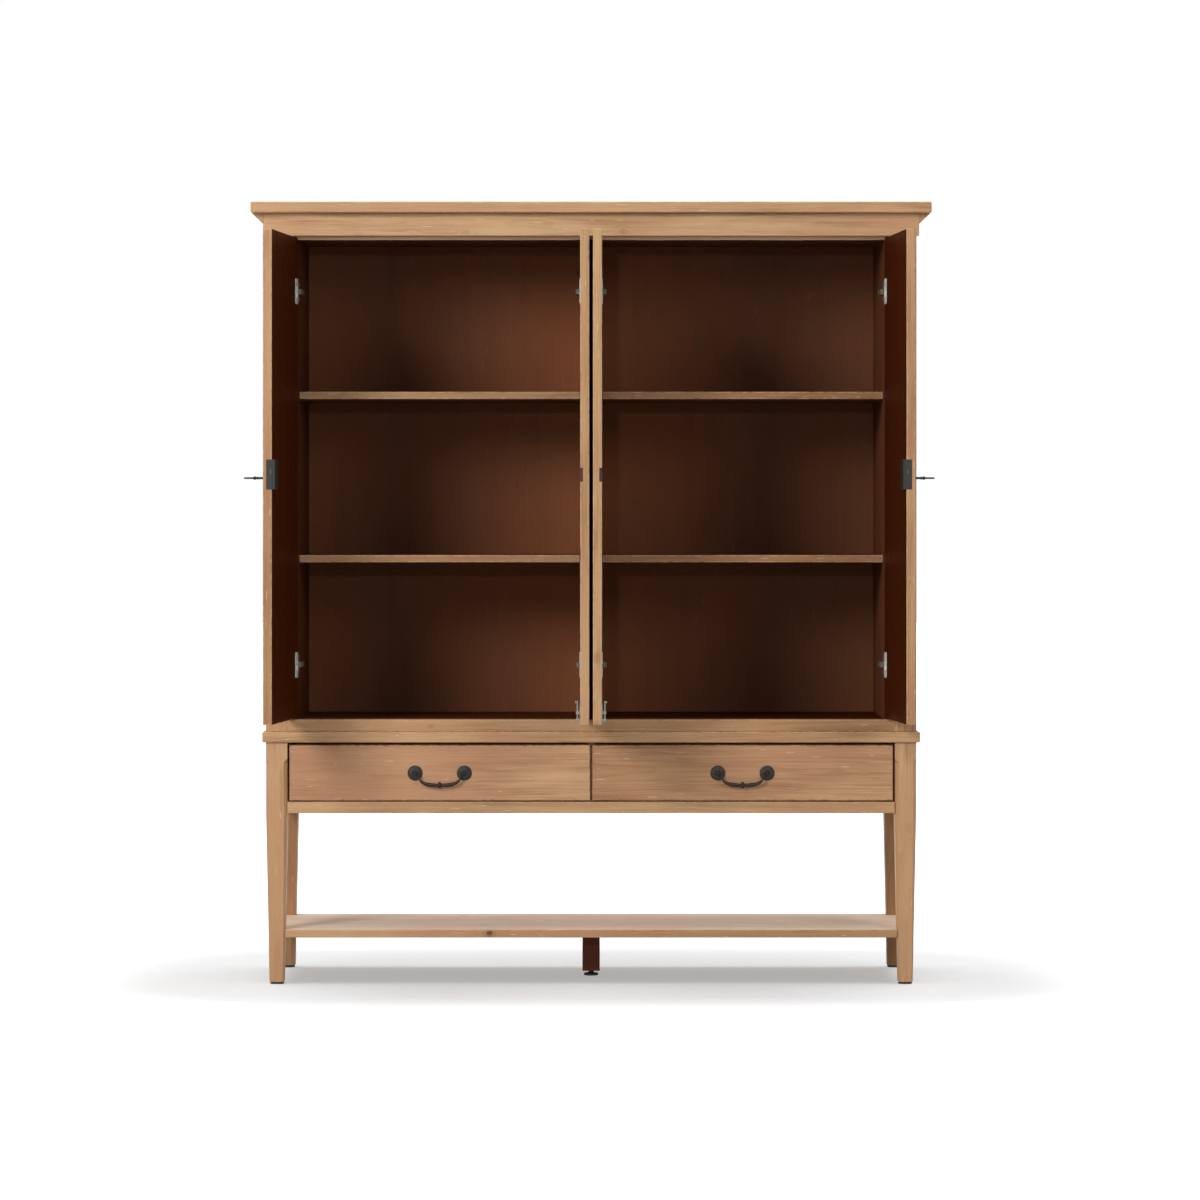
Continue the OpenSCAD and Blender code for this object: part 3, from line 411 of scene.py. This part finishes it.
# How far each door's bare frame takes its tint at the height of the top, and how much more painted shade it
# takes a metre below it, so that it darkens towards the bottom
SHADES = {
    "left_outer_door": (0.53, 0.2),
    "left_inner_door": (0.34, 0.0),
    "right_inner_door": (0.34, 0.0),
    "right_outer_door": (0.32, 0.0),
}
DOOR_TOP = 1.9

# The width of a door's rim whose walls stay bare, and how far behind the hinges a lock's metal takes
# painted shade
BARE_EDGE = 4 * MM
LOCK_FACE = 0.0165

# The distance between the cuts along a board, the nearness to a face that counts as on it, the widths
# of chamfers that wear, the angle under which faces are joined, and the reach in which vertices are
CUT_STEP = 0.055
ON_FACE = 0.1 * MM
CHAMFERS = (0.2 * MM, 2.6 * MM)
FLAT = math.radians(0.4)
WELD = 4e-6


def door_turn(door):
    """The turn that takes a point of the closed door, drawn along its own width, to its open place."""
    x, hand, angle = HINGES[door]
    return (Matrix.Translation((x, HINGE_Y, 0)) @ Matrix.Rotation(-hand * math.radians(angle), 4, "Z")
            @ Matrix.Diagonal((hand, 1, 1, 1)))


# Boards


def solids(node):
    """The separate solids of a CAD node, welded, each as its points and its faces' places among them."""
    source = bmesh.new()
    source.from_mesh(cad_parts[node].data)
    bmesh.ops.remove_doubles(source, verts=source.verts, dist=WELD)
    source.verts.ensure_lookup_table()
    seen = set()
    out = []
    for start in source.verts:
        if start.index in seen:
            continue
        seen.add(start.index)
        group = []
        queue = [start]
        while queue:
            v = queue.pop()
            group.append(v)
            for e in v.link_edges:
                w = e.other_vert(v)
                if w.index not in seen:
                    seen.add(w.index)
                    queue.append(w)
        order = {v: i for i, v in enumerate(group)}
        faces = sorted({f for v in group for f in v.link_faces}, key=lambda f: f.index)
        out.append(([v.co.copy() for v in group], [[order[v] for v in f.verts] for f in faces]))
    source.free()
    return out


def finish_mesh(bm, name, angle=32):
    """Makes the mesh object, with edges sharper than the angle kept sharp."""
    bmesh.ops.recalc_face_normals(bm, faces=bm.faces)
    limit = math.radians(angle)
    for f in bm.faces:
        f.smooth = True
    for e in bm.edges:
        e.smooth = len(e.link_faces) == 2 and e.calc_face_angle(0.0) < limit
    mesh = bpy.data.meshes.new(name)
    bm.to_mesh(mesh)
    bm.free()
    obj = bpy.data.objects.new(name, mesh)
    bpy.context.scene.collection.objects.link(obj)
    return obj


def dress(piece, node, body, first, second=None):
    """Gives a piece its materials and puts it in the place of its CAD node."""
    piece.data.materials.append(first)
    if second:
        piece.data.materials.append(second)
    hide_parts(node)
    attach(piece, body)


def cut(bm, mid, axis, value):
    """Gives a board vertices on the plane across one of its axes."""
    at = mid.copy()
    at[axis] = value
    normal = Vector((0, 0, 0))
    normal[axis] = 1
    everything = bm.verts[:] + bm.edges[:] + bm.faces[:]
    bmesh.ops.bisect_plane(bm, geom=everything, dist=1e-7, plane_co=at, plane_no=normal)


def wear_edges(bm, rng, mid, half, axes, wear):
    """A chamfer's two lines move apart in their own faces, unevenly along the board."""
    a, b, c = axes
    waves = {(i, j): [(rng.uniform(6, 60), rng.uniform(0, 6.28), rng.uniform(0.3, 1)) for _ in range(4)]
             for i in (-1, 1) for j in (-1, 1)}
    for v in bm.verts:
        p = v.co - mid
        side = (1 if p[b] > 0 else -1, 1 if p[c] > 0 else -1)
        w = sum(g * math.sin(f * p[a] + h) for f, h, g in waves[side])
        w = wear * MM * max(0.0, 0.25 + 0.42 * w)
        gap_b = half[b] - abs(p[b])
        gap_c = half[c] - abs(p[c])
        if gap_c < ON_FACE and CHAMFERS[0] < gap_b < CHAMFERS[1]:
            v.co[b] -= side[0] * min(w, 0.25 * half[b])
        elif gap_b < ON_FACE and CHAMFERS[0] < gap_c < CHAMFERS[1]:
            v.co[c] -= side[1] * min(w, 0.25 * half[c])


def boards(node, body, slot, along=None, staves=1, turn=None, dark=None, wear=1.0, tint=0.0,
           pith=(0.03, 0.11), first=None, second=None):
    """Dresses every board of a node: cut along its length, its chamfers worn, its grain kept as attributes.

    along is the axis of the grain, which is a board's longest one where it isn't given. staves is the
    number of strips glued side by side. turn takes a closed door to its open place. dark picks the
    faces, by normal and centre, that take the second wood, which has its full tint. tint is how far the
    first wood takes its own, as a number or by the place. pith is how near and how far the middle of
    the tree may be from the strip."""
    turn = turn or Matrix.Identity(4)
    back = turn.inverted()
    out = bmesh.new()
    layers = {k: out.loops.layers.float_vector.new(k) for k in ("grain", "half", "place", "tone")}
    for index, (points, faces) in enumerate(solids(node)):
        rng = random.Random(f"{node}-{index}")
        bm = bmesh.new()
        verts = [bm.verts.new(back @ p) for p in points]
        for f in faces:
            bm.faces.new([verts[i] for i in (f if back.determinant() > 0 else reversed(f))])
        bmesh.ops.dissolve_limit(bm, angle_limit=FLAT, verts=bm.verts, edges=bm.edges)
        low = Vector([min(v.co[k] for v in bm.verts) for k in range(3)])
        high = Vector([max(v.co[k] for v in bm.verts) for k in range(3)])
        mid = (low + high) / 2
        half = (high - low) / 2
        order = sorted(range(3), key=lambda k: -half[k])
        if along is not None:
            order.remove(along)
            order.insert(0, along)
        a, b, c = order
        cuts = max(1, int(2 * half[a] / CUT_STEP))
        for i in range(1, cuts):
            cut(bm, mid, a, low[a] + 2 * half[a] * (i + rng.uniform(-0.3, 0.3)) / cuts)
        seams = [low[b] + 2 * half[b] * (i + rng.uniform(-0.12, 0.12)) / staves for i in range(1, staves)]
        for seam in seams:
            cut(bm, mid, b, seam)
        wear_edges(bm, rng, mid, half, order, wear)

        shifts = []
        tones = []
        for _ in range(staves):
            up = rng.uniform(*pith)
            aside = (rng.uniform(1, 30), rng.uniform(-0.5, 0.5) * half[b] / staves)
            shifts.append((*aside, up * rng.choice((-1, 1))))
            tones.append((rng.random(), rng.random()))
        edges = [low[b], *seams, high[b]]
        new_verts = [out.verts.new(turn @ v.co) for v in bm.verts]
        bm.verts.index_update()
        for f in bm.faces:
            f.normal_update()
            centre = f.calc_center_median()
            strip = sum(centre[b] > s for s in seams)
            shift = shifts[strip]
            strip_mid = (edges[strip] + edges[strip + 1]) / 2 - mid[b]
            strip_half = (edges[strip + 1] - edges[strip]) / 2
            try:
                g = out.faces.new([new_verts[v.index] for v in f.verts])
            except ValueError:
                continue
            stained = bool(dark and dark(f.normal, centre))
            g.material_index = int(stained)
            for loop, v in zip(g.loops, f.verts):
                p = v.co - mid
                loop[layers["grain"]] = (p[a] + shift[0], p[b] - strip_mid + shift[1], p[c] + shift[2])
                loop[layers["half"]] = (half[a], strip_half, half[c])
                loop[layers["place"]] = (p[a], p[b] - strip_mid, p[c])
                # Given by the place, the tint depth can carry painted shade and painted light
                depth = tint(turn @ v.co) if callable(tint) else tint
                loop[layers["tone"]] = (*tones[strip], 1.0 if stained else depth)
        bm.free()
    first = first or (STAIN if slot == "dark_wood" else PINE)
    second = (second or STAIN) if dark else None
    dress(finish_mesh(out, node + "_wood", angle=20), node, body, first, second)


def smooth_copy(node, body, material, angle=32, second=None, pick=None):
    """A CAD node's own shape with its vertices welded, so that round faces shade smoothly.

    pick names the faces, by their centre, that take the second material."""
    bm = bmesh.new()
    for points, faces in solids(node):
        verts = [bm.verts.new(p) for p in points]
        for f in faces:
            try:
                bm.faces.new([verts[i] for i in f])
            except ValueError:
                pass
    if pick:
        for f in bm.faces:
            f.material_index = int(pick(f.calc_center_median()))
    dress(finish_mesh(bm, node + "_dressed", angle), node, body, material, second)


# The fixed pieces

CASE = "case"

# How far the pith is from the stained boards inside the case, which makes their grain straight
STRAIGHT = (0.4, 0.6)

# The top rail's lower face is bare in front of this place and stained behind it
RAIL_BACK = -0.2245


def veneer_painted_light(p):
    """Painted light: the back panels are painted lighter beside the partition and at their outer sides, as
    in the photograph, where the lamps' light falls in.
    """
    side = 1.6 if p.x > 0 else 2.2
    return min(1.0, 2.0 * abs(p.x), 1.0 - side * (abs(p.x) - 0.52))


boards("top_board", CASE, "pine", along=0, staves=5, wear=1.3, tint=0.27)
# Painted shade: the frieze grows darker towards the right, where less light falls
boards("frieze_board", CASE, "pine", along=0, wear=1.0, tint=lambda p: 0.06 + 0.08 * p.x)
boards("side_crowns", CASE, "pine", along=1, wear=0.5)
boards("upper_posts", CASE, "pine", along=2, wear=1.1)
boards("outer_side_panels", CASE, "pine", along=2, staves=4, wear=0.3)
boards("outer_side_rails", CASE, "pine", along=1)
boards("top_rail", CASE, "pine", along=0, wear=0.4, first=RAIL,
       dark=lambda n, p: n.y > 0.5 or (n.z < -0.5 and p.y > RAIL_BACK))
# Painted shade: the bottom rail grows darker towards the right, where less light falls
boards("bottom_rail", CASE, "pine", along=0, tint=lambda p: 0.42 + 0.4 * p.x)
# Painted shade: the left stile takes a deeper tint than the others, for the shade inside the case on the
# left
boards("front_stiles", CASE, "dark_wood", along=2, tint=lambda p: 0.9 if p.x < -0.3 else 0.55)
# Painted shade and light: the left inner side is darker, in shade, and the right one lighter, like the lit
# back panel beside it
boards("inner_side_panels", CASE, "dark_wood", along=2, wear=0.2, pith=STRAIGHT,
       tint=lambda p: 0.6 if p.x < 0 else 0.1)
boards("partition_panels", CASE, "dark_wood", along=2, wear=0.2, pith=STRAIGHT, tint=0.5)
boards("case_top", CASE, "dark_wood", along=0, wear=0.2, pith=STRAIGHT)
# Painted shade: the right half of the case floor is darker
boards("case_floor", CASE, "dark_wood", along=0, wear=0.2, pith=STRAIGHT,
       tint=lambda p: 0.8 if p.x < 0 else 1.0)
# The back panels' front faces take painted light, lighter beside the partition and at the outer sides
boards("back_panels", CASE, "dark_wood", along=2, staves=3, wear=0.2, pith=(0.25, 0.5), first=VENEER,
       second=VENEER, dark=lambda n, p: n.y > 0.5, tint=veneer_painted_light)
boards("shelves", CASE, "dark_wood", along=0, wear=0.2, pith=STRAIGHT)
# Painted shade: the lippings sit back in the case and are tinted darker, the right ones most
boards("shelf_lippings", CASE, "pine", along=0, wear=1.0, tint=lambda p: 0.68 if p.x < 0 else 1.0)
# Painted shade: the waist board grows darker towards the right
boards("waist_board", CASE, "pine", along=0, staves=5, wear=1.3,
       tint=lambda p: 0.12 + 0.2 * max(0.0, p.x))
# Painted shade: the back legs, under the case, are darker, the right one most
boards("legs", CASE, "pine", along=2, wear=0.8,
       tint=lambda p: 0.03 if p.y < 0 else 0.5 if p.x < 0 else 0.95)
# Painted shade: the drawer rail grows darker towards the right
boards("drawer_rail", CASE, "pine", along=0, tint=lambda p: max(0.0, 0.05 + 0.12 * p.x))
boards("base_aprons", CASE, "pine")
boards("drawer_divider", CASE, "pine", along=1, wear=0.2)
boards("drawer_runners", CASE, "pine", along=1, wear=0.2)
# The lower shelf's top takes the painted sheen, and its front grows darker towards the right, a painted
# shade
boards("lower_shelf", CASE, "pine", along=0, staves=5, wear=1.3, dark=lambda n, p: n.z > 0.9,
       second=SHEEN_PINE, tint=lambda p: max(0.0, 0.28 + 0.4 * p.x))
# The middle foot takes the stain with painted light
boards("middle_foot", CASE, "dark_wood", along=2, first=LIT_FOOT)
smooth_copy("shelf_pins", CASE, STEEL)
# The hinge arms take the nickel with painted shade
smooth_copy("hinge_arms", CASE, SHADED_NICKEL)
smooth_copy("leg_glides", CASE, BLACK)
smooth_copy("middle_glide", "middle_foot_glide", BLACK)


# The doors and what is on them


def inner_side(door):
    """The test for a closed door's stained faces: its inner side and the walls of what is cut into it."""
    back = door_turn(door).inverted()
    corners = [back @ v.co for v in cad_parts[door + "_frame"].data.vertices]
    low = [min(c[k] for c in corners) + BARE_EDGE for k in range(3)]
    high = [max(c[k] for c in corners) - BARE_EDGE for k in range(3)]
    half_way = (low[1] + high[1]) / 2

    def stained(n, p):
        within = low[0] < p.x < high[0] and low[2] < p.z < high[2]
        return n.y > 0.9 or (within and (n.y > 0.5 or (n.y > -0.5 and p.y > half_way)))

    return stained


for door, (shade, painted_shade_fall) in SHADES.items():
    turn = door_turn(door)
    inner = inner_side(door)
    # The left outer door's frame darkens towards the bottom, a painted shade
    boards(door + "_frame", door, "pine", turn=turn, dark=inner,
           tint=lambda p: shade + painted_shade_fall * (DOOR_TOP - p.z))
    boards(door + "_panel", door, "pine", along=2, staves=2, turn=turn, dark=inner, wear=0.2)
    smooth_copy(door.replace("door", "hinge_cups"), door, PLATE)

for side in ("left", "right"):
    outer_door = side + "_outer_door"
    inner_door = side + "_inner_door"
    back = door_turn(outer_door).inverted()
    # The lock's parts behind its face take the steel with painted shade
    smooth_copy(side + "_lock_case", outer_door, STEEL, second=SHADED_STEEL,
                pick=lambda c: (back @ c).y > LOCK_FACE)
    smooth_copy(side + "_lock_bolt", side + "_bolt_body", DULL)
    smooth_copy(side + "_key", side + "_key_body", IRON)
    smooth_copy(side + "_strike", inner_door, BRONZE)
    smooth_copy(side + "_slide_plate", inner_door, BOLT)
    smooth_copy(side + "_slide_rod", side + "_slide_bolt", BOLT)
    boards(side + "_drawer_front", side + "_drawer", "pine", along=0, wear=1.0, first=FRONT,
           tint=lambda p: max(0.0, 0.65 - 1.03 * p.x if p.x > 0 else -0.06 - 0.4 * p.x))
    boards(side + "_drawer_box", side + "_drawer", "pine", wear=0.3)
    smooth_copy(side + "_pull_posts", side + "_drawer", IRON)
    smooth_copy(side + "_bail", side + "_bail_body", IRON, angle=50)


# Room, lights and camera

# The room's light, and the floor's glow: its strength, its least and full share, and the distances from
# the core of the shadow between which it grows. The core is given as half its width and half its depth
ROOM_STRENGTH = 0.2
GLOW_STRENGTH = 1.8
GLOW_SHARE = (0.21, 1.0)
GLOW_REACH = (0.3, 1.2)
SHADOW_CORE = (0.75, 0.25, 0)

# What the lamps in front look at
CENTRE = (0, 0, 1.2)


def backdrop():
    """A grey floor for the light on the object, which the camera sees as white with the object's shadow."""
    bm = bmesh.new()
    bmesh.ops.create_grid(bm, x_segments=8, y_segments=8, size=40)
    ground = finish_mesh(bm, "floor")
    s = Shader("floor_paint")
    s.tree.nodes.remove(s.bsdf)
    at = s.node("ShaderNodeTexCoord").outputs["Object"]
    cloud = s.span(s.noise(at, 2.0, 2), 0.3, 0.7)
    mottled = s.mix(cloud, srgb(196, 196, 196), srgb(201, 201, 201))
    grey = s.node("ShaderNodeBsdfDiffuse", {"Color": mottled})
    white = s.node("ShaderNodeBsdfDiffuse", {"Color": (0.965, 0.985, 1, 1)})
    glow = s.node("ShaderNodeEmission", {"Color": WHITE, "Strength": GLOW_STRENGTH})
    beside = s.vector("SUBTRACT", s.vector("ABSOLUTE", at), SHADOW_CORE)
    beside = s.vector("LENGTH", s.vector("MAXIMUM", beside, (0, 0, 0)))
    share = s.span(beside, *GLOW_REACH, *GLOW_SHARE, "SMOOTHSTEP")
    shown = s.blend(s.seen(), grey, s.blend(share, white, glow))
    s.put(s.output.inputs[0], shown.outputs[0])
    ground.data.materials.append(s.material)
    return ground


def room():
    """A dim room round the object, which the camera sees as white."""
    world = bpy.data.worlds.new("room")
    bpy.context.scene.world = world
    world.use_nodes = True
    w = Nodes(world.node_tree)
    dim = w.node("ShaderNodeBackground", {"Color": WHITE, "Strength": ROOM_STRENGTH})
    white = w.node("ShaderNodeBackground", {"Color": WHITE, "Strength": 1.0})
    w.node("ShaderNodeOutputWorld", {0: w.blend(w.seen(), dim, white).outputs[0]})


def lamp(name, place, power, width=None, angle=None, target=CENTRE):
    """A round lamp with a width in metres, or a sun with an angle in degrees, that looks at its target."""
    data = bpy.data.lights.new(name, "AREA" if width else "SUN")
    if width:
        data.shape = "DISK"
        data.size = width
    else:
        data.angle = math.radians(angle)
    data.energy = power
    obj = bpy.data.objects.new(name, data)
    obj.location = place
    obj.rotation_euler = (Vector(target) - Vector(place)).to_track_quat("-Z", "Y").to_euler()
    bpy.context.scene.collection.objects.link(obj)
    return obj


floor = backdrop()
room()
front = lamp("front", (-0.62, -12.2, 2.28), width=0.2, power=80)
key = lamp("key", (-3.8, -5.6, 3.6), width=2.4, power=286)
fill = lamp("fill", (4.1, -5.8, 3.4), width=2.4, power=102)
lamp("above", (0.1, 0.05, 6), angle=60, power=1.9, target=(0.1, 0, 0))

# The lamps in front light the object and leave its shadow on the floor to the light above
bare = bpy.data.collections.new("without_floor")
bare.objects.link(floor)
for item in bare.collection_objects:
    item.light_linking.link_state = "EXCLUDE"
for light in (front, key, fill):
    light.light_linking.receiver_collection = bare

camera = bpy.data.cameras.new("camera")
camera.sensor_width = 36
camera.lens = 138.46
camera.shift_x = 0.0074
camera.shift_y = -0.0712
camera.clip_end = 200
view = bpy.data.objects.new("camera", camera)
view.location = (0, -12.25, 1.222)
view.rotation_euler = (math.radians(90), 0, 0)
bpy.context.scene.collection.objects.link(view)
bpy.context.scene.camera = view
bpy.context.scene.view_settings.view_transform = "Standard"
